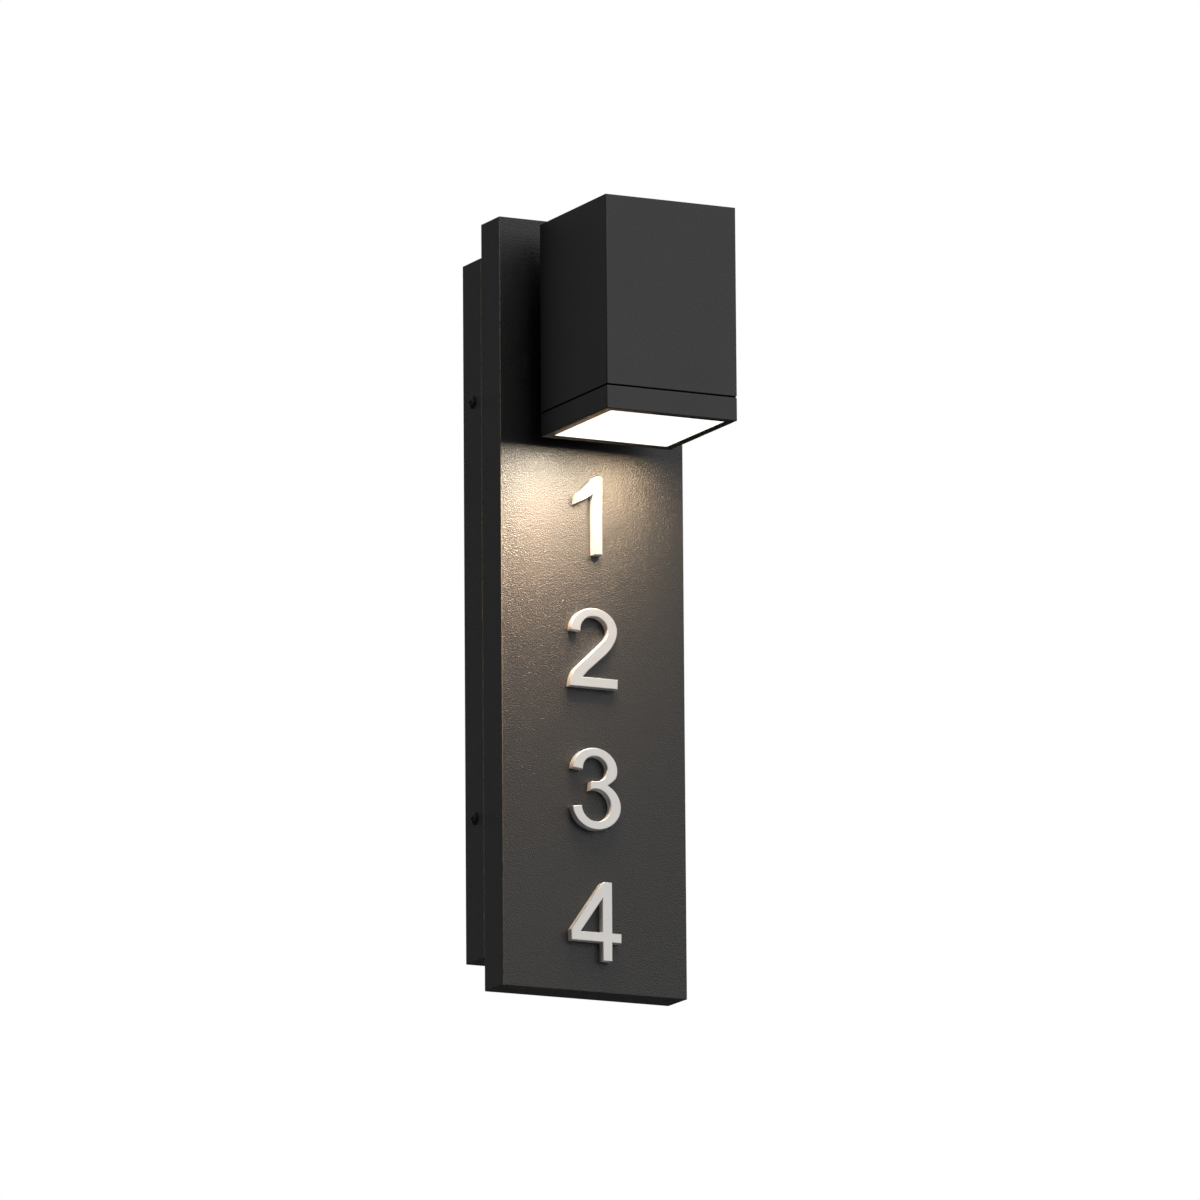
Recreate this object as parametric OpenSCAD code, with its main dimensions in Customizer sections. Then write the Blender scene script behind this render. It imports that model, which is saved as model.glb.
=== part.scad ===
// Outdoor wall sconce: a square lamp head held off a tall panel, with numerals, over a wall canopy.
// Frame: the wall is the plane y = 0, the front of the sconce looks along -Y, and +Z is up.
// The origin is the centre of the junction box that the sconce covers.
// A letter d below is a distance in front of the wall, so y = -d.

/* [Panel] */
// Width of the panel and of the canopy behind it
panel_w = 120; // [110:1:160]
// Height of the panel
panel_h = 460; // [450:1:560]
// Depth of the panel from its back to its front face
panel_t = 24.6; // [22:0.1:34]
// Sheet thickness of the panel's front and sides
panel_wall = 2; // [1.6:0.1:2.6]
// Thickness of the flat cover that closes the panel's back
cover_t = 2; // [1.5:0.1:2.6]
// Radius of the panel's long outer corners
edge_r = 0.5; // [0.3:0.1:1.5]

/* [Canopy] */
// How far the canopy stops short of the panel at the top and at the bottom
canopy_inset = 20; // [18:1:30]
// Depth of the canopy from the wall to the panel
canopy_d = 25; // [24:0.5:36]
// Sheet thickness of the canopy
canopy_wall = 2; // [1.5:0.1:2.5]
// Radius of the canopy's long outer corners
canopy_r = 1.5; // [0.3:0.1:1.5]
// Thickness of the foam seal against the wall
seal_t = 3; // [2:0.5:4]
// Width of the foam seal and of the ledge that carries it
seal_w = 3; // [2:0.5:4]
// Thickness of the ledge under the foam seal
ledge_t = 1.5; // [1:0.5:2.5]

/* [Lamp head] */
// Width of the lamp head
head_w = 85; // [82:1:100]
// Depth of the lamp head from its back to its front
head_dp = 87; // [84:1:100]
// Height of the lamp head with its bezel
head_h = 128; // [122:1:150]
// How far the head's top lies below the panel's top
head_drop = 7.5; // [2:0.5:20]
// Open gap between the panel's front and the head's back
head_gap = 18.4; // [16:0.2:30]
// Wall thickness of the head
head_wall = 2.5; // [2:0.1:3]
// Thickness of the head's top
head_top_t = 3; // [2:0.5:4]
// Radius of the head's upright corners
head_r = 0.5; // [0.3:0.1:1.5]

/* [Bezel and lens] */
// Height of the bezel ring
bezel_h = 13.9; // [12.5:0.1:16]
// Height of the reveal groove between the bezel and the head
reveal_h = 0.9; // [0.6:0.1:2.5]
// Depth of the reveal groove, down to the shoulder that the bezel seats on
reveal_d = 0.7; // [0.4:0.1:1]
// Width of the rim round the lens
rim_w = 5; // [4:0.1:6]
// Wall thickness of the bezel above its lip
bezel_wall = 2; // [1.5:0.1:2.5]
// Thickness of the lip that the lens rests on
lip_t = 3; // [2:0.1:4]
// How far the lens face lies inside the rim
lens_recess = 0.6; // [0.1:0.1:1.5]
// Thickness of the lens flange above the lip
lens_flange_t = 2; // [1:0.1:3]
// Thickness of the lens gasket
gasket_t = 2; // [1:0.1:3]

/* [Light engine] */
// Height of the LED board's lit face above the bezel's lower face
engine_h = 70; // [60:1:80]
// Side of the square LED board
board_w = 56; // [52:1:60]
// Thickness of the LED board
board_t = 1.6; // [1:0.1:3]
// Thickness of the heat sink's base
sink_t = 4; // [3:0.5:6]
// How far the heat sink reaches past the LED board on each side
sink_rim = 7; // [6:0.5:9]
// Height of the heat sink's fins
fin_h = 26; // [10:1:30]
// Thickness of one fin
fin_t = 1.6; // [1:0.1:2.5]
// Distance from fin to fin
fin_pitch = 8; // [6:0.5:12]
// Distance from LED to LED
led_pitch = 11; // [8:0.5:11]
// Side of one LED
led_w = 3; // [2:0.1:4]
// Thickness of one LED
led_t = 0.8; // [0.5:0.1:1.2]
// Half opening of the reflector at the LED board
throat = 20; // [18.6:0.1:21]
// Wall thickness of the reflector
reflector_t = 1; // [0.8:0.1:1.5]

/* [Stand-off neck] */
// Width of the neck between the panel and the head
neck_w = 50; // [46:1:60]
// Height of the neck
neck_h = 70; // [66:1:76]
// Wall thickness of the neck
neck_wall = 6; // [4:0.5:7]
// Radius of the neck's outer corners
neck_r = 6; // [4:0.5:8]
// Thickness of the flat gasket at each end of the neck
neck_gasket_t = 1; // [0.5:0.1:2]

/* [Numerals] */
// Height of a numeral
numeral_h = 47; // [40:0.5:52]
// Thickness of a numeral
numeral_t = 4.8; // [3:0.1:8]
// Height of the foot line of the numeral 1 above the panel's bottom edge
foot_1 = 260.5; // [258:0.1:280]
// Height of the foot line of the numeral 2 above the panel's bottom edge
foot_2 = 180.6; // [176:0.1:190]
// Height of the foot line of the numeral 3 above the panel's bottom edge
foot_3 = 96.5; // [92:0.1:106]
// Height of the foot line of the numeral 4 above the panel's bottom edge
foot_4 = 17.9; // [14:0.1:28]
// Length of a numeral's stud behind the panel's front face
stud_l = 7; // [6:0.5:9]

/* [Mounting plate] */
// Height of the mounting plate
plate_h = 280; // [270:1:380]
// Thickness of the mounting plate
plate_t = 2; // [1.5:0.1:3]
// Clearance between the mounting plate and the ledge round it
plate_play = 1; // [0.5:0.1:3]
// Radius of the mounting plate's corners
plate_r = 4; // [2:0.5:8]
// Distance between the centres of the two junction box slots
box_pitch = 79.4; // [76:0.1:84]
// Length of a junction box slot from end to end
slot_l = 26; // [16:0.5:28]
// Half the width of a junction box slot
slot_r = 2.75; // [2.5:0.05:3.5]
// Radius of the hole for the house wires
wire_hole_r = 18; // [12:0.5:20]
// Distance between the two wall anchor holes
anchor_pitch = 240; // [228:1:256]
// Radius of a wall anchor hole
anchor_r = 2.75; // [2:0.05:3.5]
// Height of the side screws above and below the centre
tab_z = 125; // [122:1:130]
// Width of a side tab
tab_w = 14; // [12:0.5:20]

/* [Screws] */
// Thread radius of the larger screws
screw_r = 2; // [1.8:0.05:2.2]
// Head radius of the larger screws
screw_head_r = 3.8; // [3.4:0.1:4.2]
// Head height of the larger screws
screw_head_h = 1.8; // [1.5:0.1:2.5]
// Thread radius of the smaller screws and of the numerals' studs
small_r = 1.5; // [1.3:0.05:1.6]
// Head radius of the smaller screws
small_head_r = 2.8; // [2.5:0.1:3]
// Head height of the smaller screws
small_head_h = 1.6; // [1.2:0.1:2]

/* [Driver and wiring] */
// Length of the driver's case
driver_l = 112; // [90:1:114]
// Width of the driver's case
driver_w = 30; // [24:1:40]
// Thickness of the driver's case
driver_t = 13.6; // [9:0.1:14]
// Length of the driver's mounting ear at each end
ear_l = 11; // [9:0.5:12]
// Thickness of the driver's mounting ear
ear_t = 2; // [1:0.1:2.5]
// Height of the driver's centre, below the origin
driver_z = -104; // [-106:1:-102]
// Radius of a supply lead
supply_r = 1.3; // [1:0.05:1.6]
// Radius of an LED lead
led_lead_r = 1; // [0.8:0.05:1.2]
// Radius of a lead's bends, along its centre
bend_r = 6; // [4:0.5:6.5]
// Distance from pole to pole of the terminal block
pole_pitch = 5; // [4:0.1:6]

/* [Hidden] */
$fn = 64;

// Colours
coat = [0.17, 0.17, 0.175];
pale_metal = [0.88, 0.87, 0.84];
bare_metal = [0.72, 0.73, 0.74];
zinc = [0.6, 0.61, 0.6];
foam = [0.1, 0.1, 0.1];
silicone = [0.75, 0.75, 0.75];
opal = [0.98, 0.97, 0.94];
white_part = [0.93, 0.93, 0.92];

// Cross recesses in the screws' heads
recess_w = 0.9;
recess_deep = 1;

// Clearances
fit_gap = 0.2;
thread_gap = 0.05;
pilot_end = 1;
cut = 1;
thin = 0.01;

// Depths in front of the wall
panel_back = canopy_d;
panel_front = panel_back + panel_t;
panel_inner = panel_front - panel_wall;
cover_front = panel_back + cover_t;
canopy_floor = canopy_d - canopy_wall;
head_back = panel_front + head_gap;
head_mid = head_back + head_dp / 2;

// Heights
canopy_h = panel_h - 2 * canopy_inset;
head_top = panel_h / 2 - head_drop;
head_foot = head_top - head_h;
neck_z = head_top - head_h / 2;
shell_foot = head_foot + bezel_h + reveal_h;
board_z = head_foot + engine_h;
sink_z = board_z + board_t;
seal_plane = head_foot + lip_t + lens_flange_t + gasket_t;

// The spigot below the head's shell that the bezel goes round
spigot_w = head_w - 2 * bezel_wall - 2 * fit_gap;
spigot_dp = head_dp - 2 * bezel_wall - 2 * fit_gap;
spigot_wall = 2.3;
mouth_w = spigot_w - 2 * spigot_wall;
mouth_dp = spigot_dp - 2 * spigot_wall;

// The lens's opening in the bezel, and the lit opening in the gasket above it
open_w = head_w - 2 * rim_w;
open_dp = head_dp - 2 * rim_w;
light_in = 1;
light_w = open_w - 2 * light_in;
light_dp = open_dp - 2 * light_in;

// Head fasteners
boss_r = 4;
sink_w = board_w + 2 * sink_rim;
boss_at = sink_w / 2 - boss_r;
sink_bite = 10;
board_margin = 0.7;
board_screw = board_w / 2 - small_head_r - board_margin;
bezel_screw_x = 25;
bezel_screw_z = (seal_plane + head_foot + bezel_h) / 2;
hook_w = 12;
hook_x = 22;
hook_t = 1;
hook_h = 1.5;
hook_drop = 3.4;
hook_z = head_foot + bezel_h - hook_drop;
rib_t = 2;
fins = floor((boss_at - boss_r - fin_t) / fin_pitch);
leds = 4;

// Neck fasteners, in the middle of the neck's corner bosses
neck_boss_r = 5.5;
neck_boss_in = 1;
neck_x = neck_w / 2 - neck_boss_r - neck_boss_in;
neck_dz = neck_h / 2 - neck_boss_r - neck_boss_in;
neck_bite = 6.8;

// Panel posts: the end posts take the cover's screws and the middle posts the canopy's
post_r = 4;
post_in = 4;
post_step = 2;
mid_post_in = 40;
end_post_x = panel_w / 2 - panel_wall - post_r - post_in;
end_post_z = (panel_h - canopy_inset) / 2;
mid_post_x = end_post_x - post_step;
mid_post_z = canopy_h / 2 - mid_post_in;
post_bite = 8;

// Numeral foot lines from the origin, and the height of the grid that the numerals are drawn on
numeral_grid = 47;
feet = [foot_1, foot_2, foot_3, foot_4] - [1, 1, 1, 1] * panel_h / 2;
// Each numeral's two studs, on its grid
studs = [[[1.4, 8], [1.4, 39]], [[-4, 2.9], [-1.6, 44.8]], [[-0.8, 2], [-1.6, 45]], [[5.8, 5.5], [5.8, 41]]];
nut_t = 2.4;
nut_r = 3.1;

// Mounting plate
plate_w = panel_w - 2 * (canopy_wall + seal_w + plate_play);
side_screw_d = canopy_d / 2;
tab_rim = 6;
tab_d = side_screw_d + tab_rim;
side_screw_tip = 1;
lug_t = 0.8;
lug_r = 4.6;
lug_neck = 1;
barrel_r = 1.9;
barrel_l = 6;
barrel_bite = 1;

// Terminal block on the canopy's floor
supply_x = -6.5;
poles = 3;
block_end = 2;
block_w = poles * pole_pitch + 2 * block_end;
block_h = 18;
block_t = 12;
block_x = supply_x + pole_pitch / 2;
block_z = -72;
block_ear = 6;
block_ear_h = 10;
pole_d = canopy_floor - block_t / 2;
pole_deep = 6;

// Earth lead from the third pole to a ring lug on the plate
lead_end = 1;
ground_x = supply_x + 1.5 * pole_pitch;
ground_turn_z = block_z - block_h / 2 - bend_r - lead_end;
ground_d = plate_t + barrel_r;
barrel_z = ground_turn_z - bend_r - barrel_l;
ground_z = barrel_z - lug_r + lug_neck;

// Wiring
grommet_web = 1.2;
grommet_z = -27;
grommet_r = pole_pitch / 2 + supply_r + grommet_web;
grommet_wall = 1.4;
grommet_rim = 1.6;
grommet_lip = 1.5;
led_x = 8;
led_lead_gap = 1.5;
led_hole_r = 5;
notch_play = 1.5;
driver_r = 2;
ear_r = 3;
ear_w = 18;
lead_d = cover_front + driver_t / 2;
driver_end = driver_z + driver_l / 2;
ear_screw_z = driver_l / 2 + ear_l / 2;

// A rectangle with round corners, centred
module rounded_rect(w, h, r) {
    square([w - 2 * r, h], center = true);
    square([w, h - 2 * r], center = true);
    for (sx = [-1, 1], sy = [-1, 1])
        translate([sx * (w / 2 - r), sy * (h / 2 - r)]) circle(r);
}

// Extrudes an outline drawn in X and Z away from the wall, from depth d over a thickness t
module slab(d, t) {
    translate([0, -d, 0]) rotate([90, 0, 0]) linear_extrude(t) children();
}

// Block of width w, height h and thickness t in front of depth d, with its upright front corners rounded
module folded_block(w, h, t, r, d) {
    translate([0, -d, -h / 2]) linear_extrude(h) {
        translate([-w / 2, r - t]) square([w, t - r]);
        translate([r - w / 2, -t]) square([w - 2 * r, t]);
        for (sx = [-1, 1]) translate([sx * (w / 2 - r), r - t]) circle(r);
    }
}

// Extrudes an outline drawn in X and Y about the head's middle, from height z over a height h
module column(z, h) {
    translate([0, -head_mid, z]) linear_extrude(h) children();
}

// Repeats its children at the four corners of a rectangle drawn in X and Z, or X and Y
module corners(x, y) {
    for (sx = [-1, 1], sy = [-1, 1]) translate([sx * x, sy * y]) children();
}

// Cross recess for a screw whose head's top is at z = 0
module cross_recess(r) {
    for (a = [0, 90]) rotate(a)
        cube([2 * r, recess_w, 2 * recess_deep], center = true);
}

// Pan-head screw: its seat is at z = 0, the head above it and the thread below it
module pan_screw(r, l, head_r, head_h) {
    crown_h = head_h * 0.6;
    dome_r = (head_r * head_r + crown_h * crown_h) / (2 * crown_h);
    translate([0, 0, -l]) cylinder(r = r, h = l);
    difference() {
        intersection() {
            cylinder(r = head_r, h = head_h);
            translate([0, 0, head_h - dome_r]) sphere(r = dome_r);
        }
        translate([0, 0, head_h]) cross_recess(head_r * 0.55);
    }
}

// Flat-head screw: its top is flush at z = 0 and the thread goes down
module flat_screw(r, l, head_r, head_h) {
    translate([0, 0, -l]) cylinder(r = r, h = l);
    difference() {
        translate([0, 0, -head_h]) cylinder(r1 = r, r2 = head_r, h = head_h);
        cross_recess(head_r * 0.55);
    }
}

// Points a screw's head towards the wall, with its seat at depth d
module head_to_wall(d) {
    translate([0, -d, 0]) rotate([-90, 0, 0]) children();
}

// Points a screw's head away from the wall, with its seat at depth d
module head_to_front(d) {
    translate([0, -d, 0]) rotate([90, 0, 0]) children();
}

function unit(v) = v / norm(v);

// Round lead along a route of square turns drawn in Y and Z, at one x
module lead(x, route, r) {
    last = len(route) - 1;
    translate([x, 0, 0]) rotate([90, 0, 90]) {
        for (i = [0 : last - 1]) {
            along = unit(route[i + 1] - route[i]);
            from = route[i] + (i > 0 ? bend_r : 0) * along;
            to = route[i + 1] - (i < last - 1 ? bend_r : 0) * along;
            translate(from) rotate(atan2(along[1], along[0])) rotate([0, 90, 0])
                cylinder(r = r, h = norm(to - from));
        }
        for (i = [1 : last - 1]) {
            come = unit(route[i] - route[i - 1]);
            leave = unit(route[i + 1] - route[i]);
            start = cross(come, leave) > 0 ? -leave : come;
            translate(route[i] + bend_r * (leave - come)) rotate(atan2(start[1], start[0]))
                rotate_extrude(angle = 90) translate([bend_r, 0]) circle(r);
        }
    }
}

// Points along an oval from angle a to angle b
function oval(cx, cz, rx, rz, a, b) =
    let (n = ceil(abs(b - a) / 9))
        [for (i = [0 : n]) let (t = a + (b - a) * i / n) [cx + rx * cos(t), cz + rz * sin(t)]];

// Points along a curve from p to q, drawn towards the corner c
function bow(p, c, q, n = 5) =
    [for (i = [0 : n]) let (t = i / n) (1 - t) * (1 - t) * p + 2 * t * (1 - t) * c + t * t * q];

// Outlines of the numerals on their grid, with x from the panel's centre line and the foot line at 0
outline_1 = concat(
    [[4.2, 0], [4.2, 47]],
    bow([0.8, 47], [-0.9, 46.8], [-2.2, 45.2]),
    bow([-2.2, 45.2], [-8.2, 37.6], [-13.2, 35.2]),
    bow([-13.2, 29.8], [-6.8, 32.4], [-1.5, 36.5]),
    [[-1.5, 0]]);

outline_2 = concat(
    [[-17.7, 0], [13.5, 0], [13.5, 5.8]],
    bow([-9.2, 5.8], [-6.5, 9.2], [-3, 12.1]),
    bow([5, 19.2], [13.25, 27], [13.25, 34.6]),
    oval(-1.65, 34.6, 14.9, 12.65, 8, 185),
    oval(-1.6, 34, 8.95, 8.4, 187, 4),
    bow([7.35, 34], [7.35, 30.2], [2, 25.8]),
    bow([-13, 11.5], [-17.2, 7.4], [-17.7, 0]));

outline_3 = concat(
    oval(-1.6, 34.9, 14.3, 12.6, 179, -20),
    bow([11.8, 30.6], [10.3, 28.3], [6.6, 26]),
    oval(-0.7, 13.6, 15.5, 14, 58, -175),
    oval(-0.9, 13.9, 9.3, 9.5, -177, 115),
    [[-4.1, 27.8]],
    bow([0, 28.05], [5.6, 29], [6.4, 35]),
    oval(-1.5, 35, 7.9, 7.6, 8, 184));

outline_4 = concat(
    [[2.7, 0], [8.9, 0], [8.9, 11.2], [14.9, 11.2], [14.9, 16.8], [8.9, 16.8], [8.9, 47]],
    bow([4.2, 47], [2.9, 47], [1.5, 45.1]),
    [[-17.8, 17.7], [-17.8, 11.2], [2.7, 11.2]]);
counter_4 = [[-11.7, 16.8], [2.7, 16.8], [2.7, 37.1]];

outlines = [outline_1, outline_2, outline_3, outline_4];

// One numeral with its two studs
module digit(i) {
    size = numeral_h / numeral_grid;
    color(pale_metal) translate([0, 0, feet[i]]) {
        slab(panel_front, numeral_t) scale(size) difference() {
            polygon(outlines[i]);
            if (i == 3) polygon(counter_4);
        }
        for (p = studs[i]) translate([p[0] * size, 0, p[1] * size])
            slab(panel_front - stud_l, stud_l) circle(small_r);
    }
}

module digit_1() { digit(0); }
module digit_2() { digit(1); }
module digit_3() { digit(2); }
module digit_4() { digit(3); }

// Places its children, an outline in X and Z, at every stud
module at_studs() {
    size = numeral_h / numeral_grid;
    for (i = [0 : 3], p = studs[i]) translate([p[0] * size, feet[i] + p[1] * size]) children();
}

module digit_nuts() {
    color(zinc) slab(panel_inner - nut_t, nut_t) at_studs() difference() {
        circle(nut_r, $fn = 6);
        circle(small_r + thread_gap);
    }
}

// Steel plate on the junction box: its side tabs take the canopy's side screws
module mounting_plate() {
    color(zinc) difference() {
        union() {
            slab(0, plate_t) rounded_rect(plate_w, plate_h, plate_r);
            for (sx = [-1, 1], sz = [-1, 1])
                translate([sx * (plate_w - plate_t) / 2 - plate_t / 2, -tab_d, sz * tab_z - tab_w / 2])
                    cube([plate_t, tab_d, tab_w]);
        }
        slab(-cut, plate_t + 2 * cut) {
            circle(wire_hole_r);
            for (sz = [-1, 1]) {
                translate([0, sz * box_pitch / 2]) for (e = [-1, 1])
                    translate([0, e * (slot_l / 2 - slot_r)]) circle(slot_r);
                translate([0, sz * box_pitch / 2])
                    square([2 * slot_r, slot_l - 2 * slot_r], center = true);
                translate([0, sz * anchor_pitch / 2]) circle(anchor_r);
            }
            translate([ground_x, ground_z]) circle(screw_r + thread_gap);
        }
        for (sz = [-1, 1]) translate([-plate_w, -side_screw_d, sz * tab_z]) rotate([0, 90, 0])
            cylinder(r = screw_r + thread_gap, h = 2 * plate_w);
    }
}

// Green earth screw, flush with the plate's back
module ground_screw() {
    color([0.15, 0.5, 0.25]) translate([ground_x, 0, ground_z]) head_to_front(plate_t + lug_t)
        pan_screw(screw_r, plate_t + lug_t, screw_head_r, screw_head_h);
}

// Earth lead from the third pole down to a ring lug under the earth screw
module ground_lead() {
    color([0.35, 0.6, 0.2]) difference() {
        union() {
            lead(ground_x,
                 [[-pole_d, block_z - block_h / 2 + pole_deep], [-pole_d, ground_turn_z],
                  [-ground_d, ground_turn_z], [-ground_d, barrel_z + barrel_bite]],
                 supply_r);
            translate([ground_x, -ground_d, barrel_z]) cylinder(r = barrel_r, h = barrel_l);
            slab(plate_t, lug_t) {
                translate([ground_x, ground_z]) circle(lug_r);
                translate([ground_x, (ground_z + barrel_z + barrel_l) / 2])
                    square([2 * barrel_r, barrel_z + barrel_l - ground_z], center = true);
            }
        }
        translate([ground_x, 0, ground_z]) slab(0, plate_t + lug_t + cut) circle(screw_r + fit_gap / 2);
    }
}

// Open-backed box against the wall, with an inner ledge for the foam seal
module wall_canopy() {
    in_w = panel_w - 2 * canopy_wall;
    in_h = canopy_h - 2 * canopy_wall;
    color(coat) difference() {
        union() {
            difference() {
                folded_block(panel_w, canopy_h, canopy_d, canopy_r, 0);
                slab(-cut, canopy_floor + cut) square([in_w, in_h], center = true);
            }
            slab(seal_t, ledge_t) difference() {
                square([in_w + canopy_wall, in_h + canopy_wall], center = true);
                square([in_w - 2 * seal_w, in_h - 2 * seal_w], center = true);
            }
        }
        for (sz = [-1, 1]) translate([-panel_w, -side_screw_d, sz * tab_z]) rotate([0, 90, 0])
            cylinder(r = screw_r + fit_gap, h = 2 * panel_w);
        slab(canopy_floor - cut, canopy_wall + 2 * cut) {
            corners(mid_post_x, mid_post_z) circle(screw_r + fit_gap);
            translate([supply_x, grommet_z]) circle(grommet_r + grommet_wall);
            for (sx = [-1, 1]) translate([block_x + sx * (block_w + block_ear) / 2, block_z])
                circle(small_r + thread_gap);
        }
    }
}

// Foam ring between the ledge and the wall
module canopy_gasket() {
    out_w = panel_w - 2 * canopy_wall;
    out_h = canopy_h - 2 * canopy_wall;
    color(foam) slab(0, seal_t) difference() {
        square([out_w, out_h], center = true);
        square([out_w - 2 * seal_w, out_h - 2 * seal_w], center = true);
    }
}

// Four screws through the canopy's sides into the plate's tabs
module canopy_side_screws() {
    reach = (panel_w - plate_w) / 2 + plate_t + side_screw_tip;
    color(coat) for (sx = [-1, 1], sz = [-1, 1])
        translate([sx * panel_w / 2, -side_screw_d, sz * tab_z]) rotate([0, sx * 90, 0])
            pan_screw(screw_r, reach, screw_head_r, screw_head_h);
}

// Four screws from inside the canopy into the panel's middle posts
module canopy_screws() {
    color(zinc) for (sx = [-1, 1], sz = [-1, 1])
        translate([sx * mid_post_x, 0, sz * mid_post_z]) head_to_wall(canopy_floor)
            pan_screw(screw_r, canopy_wall + cover_t + post_bite, screw_head_r, screw_head_h);
}

// Three-pole terminal block with an ear at each side
module terminal_block() {
    color(white_part) difference() {
        union() {
            translate([block_x - block_w / 2, -canopy_floor, block_z - block_h / 2])
                cube([block_w, block_t, block_h]);
            translate([block_x - block_w / 2 - block_ear, -canopy_floor, block_z - block_ear_h / 2])
                cube([block_w + 2 * block_ear, ear_t, block_ear_h]);
        }
        for (k = [-0.5, 0.5, 1.5]) {
            translate([supply_x + k * pole_pitch, -pole_d, block_z - block_h / 2 - cut])
                cylinder(r = supply_r + fit_gap / 2, h = pole_deep + cut);
            translate([supply_x + k * pole_pitch, -pole_d, block_z + block_h / 2 - pole_deep])
                cylinder(r = supply_r + fit_gap / 2, h = pole_deep + cut);
        }
        for (sx = [-1, 1]) translate([block_x + sx * (block_w + block_ear) / 2, -canopy_floor - cut, block_z])
            rotate([-90, 0, 0]) cylinder(r = small_r + fit_gap, h = ear_t + 2 * cut);
    }
}

module terminal_screws() {
    color(zinc) for (sx = [-1, 1])
        translate([block_x + sx * (block_w + block_ear) / 2, 0, block_z]) head_to_wall(canopy_floor - ear_t)
            pan_screw(small_r, ear_t + canopy_wall, small_head_r, small_head_h);
}

// Two leads from the terminal block through the grommet to the driver
module supply_leads() {
    colours = [[0.12, 0.12, 0.12], [0.9, 0.9, 0.88]];
    for (k = [0, 1]) color(colours[k]) lead(
        supply_x + (k - 0.5) * pole_pitch,
        [[-pole_d, block_z + block_h / 2 - pole_deep], [-pole_d, grommet_z],
         [-lead_d, grommet_z], [-lead_d, driver_end]],
        supply_r);
}

// Rubber bush through the canopy's floor and the panel's cover
module wire_grommet() {
    color(foam) translate([supply_x, 0, grommet_z]) difference() {
        union() {
            slab(canopy_floor - grommet_lip, grommet_lip) circle(grommet_r + grommet_wall + grommet_rim);
            slab(canopy_floor - grommet_lip, canopy_wall + cover_t + 2 * grommet_lip)
                circle(grommet_r + grommet_wall);
            slab(cover_front, grommet_lip) circle(grommet_r + grommet_wall + grommet_rim);
        }
        for (k = [-0.5, 0.5]) translate([k * pole_pitch, 0, 0])
            slab(canopy_floor - grommet_lip - cut, canopy_wall + cover_t + 2 * grommet_lip + 2 * cut)
                circle(supply_r + thread_gap);
    }
}

// Flat sheet that closes the panel's back
module panel_back_cover() {
    margin = 2 * (panel_wall + fit_gap);
    color(bare_metal) difference() {
        slab(panel_back, cover_t) square([panel_w - margin, panel_h - margin], center = true);
        slab(panel_back - cut, cover_t + 2 * cut) {
            corners(mid_post_x, mid_post_z) circle(screw_r + fit_gap);
            corners(end_post_x, end_post_z) circle(small_r + fit_gap);
            translate([supply_x, grommet_z]) circle(grommet_r + grommet_wall);
            for (sz = [-1, 1]) translate([0, driver_z + sz * ear_screw_z]) circle(small_r + thread_gap);
        }
        for (sx = [-1, 1], sz = [-1, 1]) translate([sx * end_post_x, 0, sz * end_post_z])
            head_to_wall(panel_back) translate([0, 0, -small_head_h])
                cylinder(r1 = small_r + fit_gap, r2 = small_head_r + fit_gap, h = small_head_h);
    }
}

module cover_screws() {
    color(zinc) for (sx = [-1, 1], sz = [-1, 1])
        translate([sx * end_post_x, 0, sz * end_post_z]) head_to_wall(panel_back)
            flat_screw(small_r, cover_t + post_bite, small_head_r, small_head_h);
}

// Folded tray with screw posts behind its front wall
module face_panel() {
    posts_l = panel_inner - cover_front;
    color(coat) difference() {
        union() {
            difference() {
                folded_block(panel_w, panel_h, panel_t, edge_r, panel_back);
                slab(panel_back - cut, panel_t - panel_wall + cut)
                    square([panel_w - 2 * panel_wall, panel_h - 2 * panel_wall], center = true);
            }
            slab(cover_front, posts_l + cut) {
                corners(mid_post_x, mid_post_z) circle(post_r);
                corners(end_post_x, end_post_z) circle(post_r);
            }
        }
        slab(cover_front - cut, post_bite + pilot_end + cut) {
            corners(mid_post_x, mid_post_z) circle(screw_r + thread_gap);
            corners(end_post_x, end_post_z) circle(small_r + thread_gap);
        }
        slab(panel_inner - cut, panel_wall + 2 * cut) {
            at_studs() circle(small_r + fit_gap / 2);
            translate([0, neck_z]) corners(neck_x, neck_dz) circle(screw_r + fit_gap);
            translate([led_x, board_z + board_t / 2]) circle(led_hole_r);
        }
    }
}

// Slim potted driver on the cover, with an ear at each end
module led_driver() {
    color(white_part) translate([0, 0, driver_z]) difference() {
        union() {
            slab(cover_front, driver_t) rounded_rect(driver_w, driver_l, driver_r);
            slab(cover_front, ear_t) rounded_rect(ear_w, driver_l + 2 * ear_l, ear_r);
        }
        for (sz = [-1, 1]) translate([0, 0, sz * ear_screw_z])
            slab(cover_front - cut, ear_t + 2 * cut) circle(small_r + fit_gap);
    }
}

module driver_screws() {
    color(zinc) for (sz = [-1, 1]) translate([0, 0, driver_z + sz * ear_screw_z])
        head_to_front(cover_front + ear_t) pan_screw(small_r, ear_t + cover_t, small_head_r, small_head_h);
}

// Two leads from the driver up the panel and through the neck to the LED board's edge
module led_leads() {
    colours = [[0.7, 0.1, 0.1], [0.1, 0.1, 0.1]];
    wire_z = board_z + board_t / 2;
    for (k = [0, 1]) color(colours[k]) lead(
        led_x + (2 * k - 1) * led_lead_gap,
        [[-lead_d, driver_end], [-lead_d, wire_z], [board_w / 2 - head_mid, wire_z]],
        led_lead_r);
}

// Section of the neck: a tube with a screw boss in each corner
module neck_section(hole_r) {
    difference() {
        union() {
            difference() {
                rounded_rect(neck_w, neck_h, neck_r);
                square([neck_w - 2 * neck_wall, neck_h - 2 * neck_wall], center = true);
            }
            corners(neck_x, neck_dz) circle(neck_boss_r);
        }
        corners(neck_x, neck_dz) circle(hole_r);
    }
}

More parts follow.
